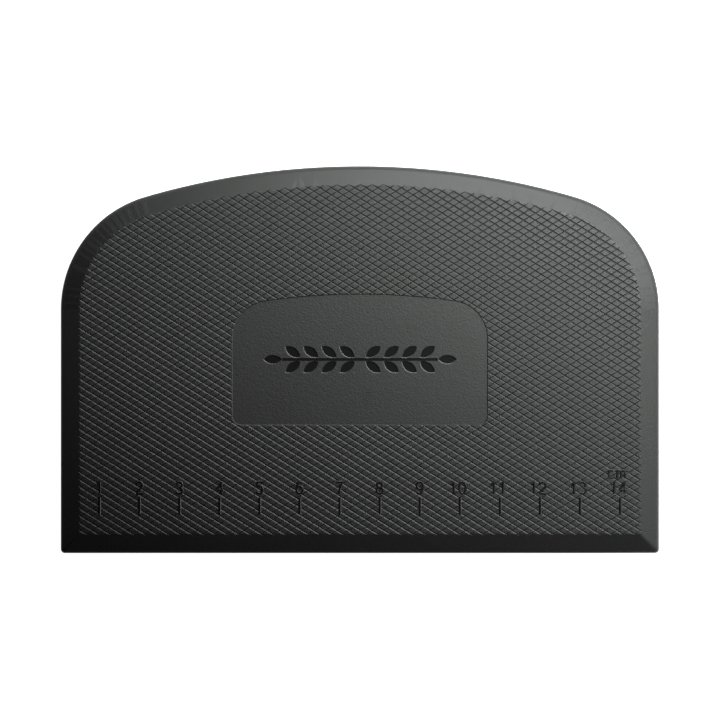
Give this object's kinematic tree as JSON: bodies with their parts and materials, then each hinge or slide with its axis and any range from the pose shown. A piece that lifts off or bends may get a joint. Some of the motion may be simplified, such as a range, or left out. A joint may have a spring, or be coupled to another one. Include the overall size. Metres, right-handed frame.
{
  "type": "bench scraper",
  "caption": "Flat hand scraper for dough: straight edge, arched grip edge, thin bevelled lips all round, diamond grip, smooth panel with an emblem, and a raised centimetre ruler.",
  "frame": {"origin": "under the middle of the scraper, on the surface that it lies on, back down", "axes": "+X along the straight scraping edge towards the high end of the ruler, +Y from the scraping edge to the arched grip edge, +Z out of the marked front face"},
  "size_m": [0.1496, 0.0968, 0.0042],
  "materials": {
    "charcoal_rubber": "matte",
    "spring_steel": "satin"
  },
  "bodies": {
    "root": {"moulded_body": "charcoal_rubber", "core_plate": "spring_steel"}
  },
  "joints": []
}
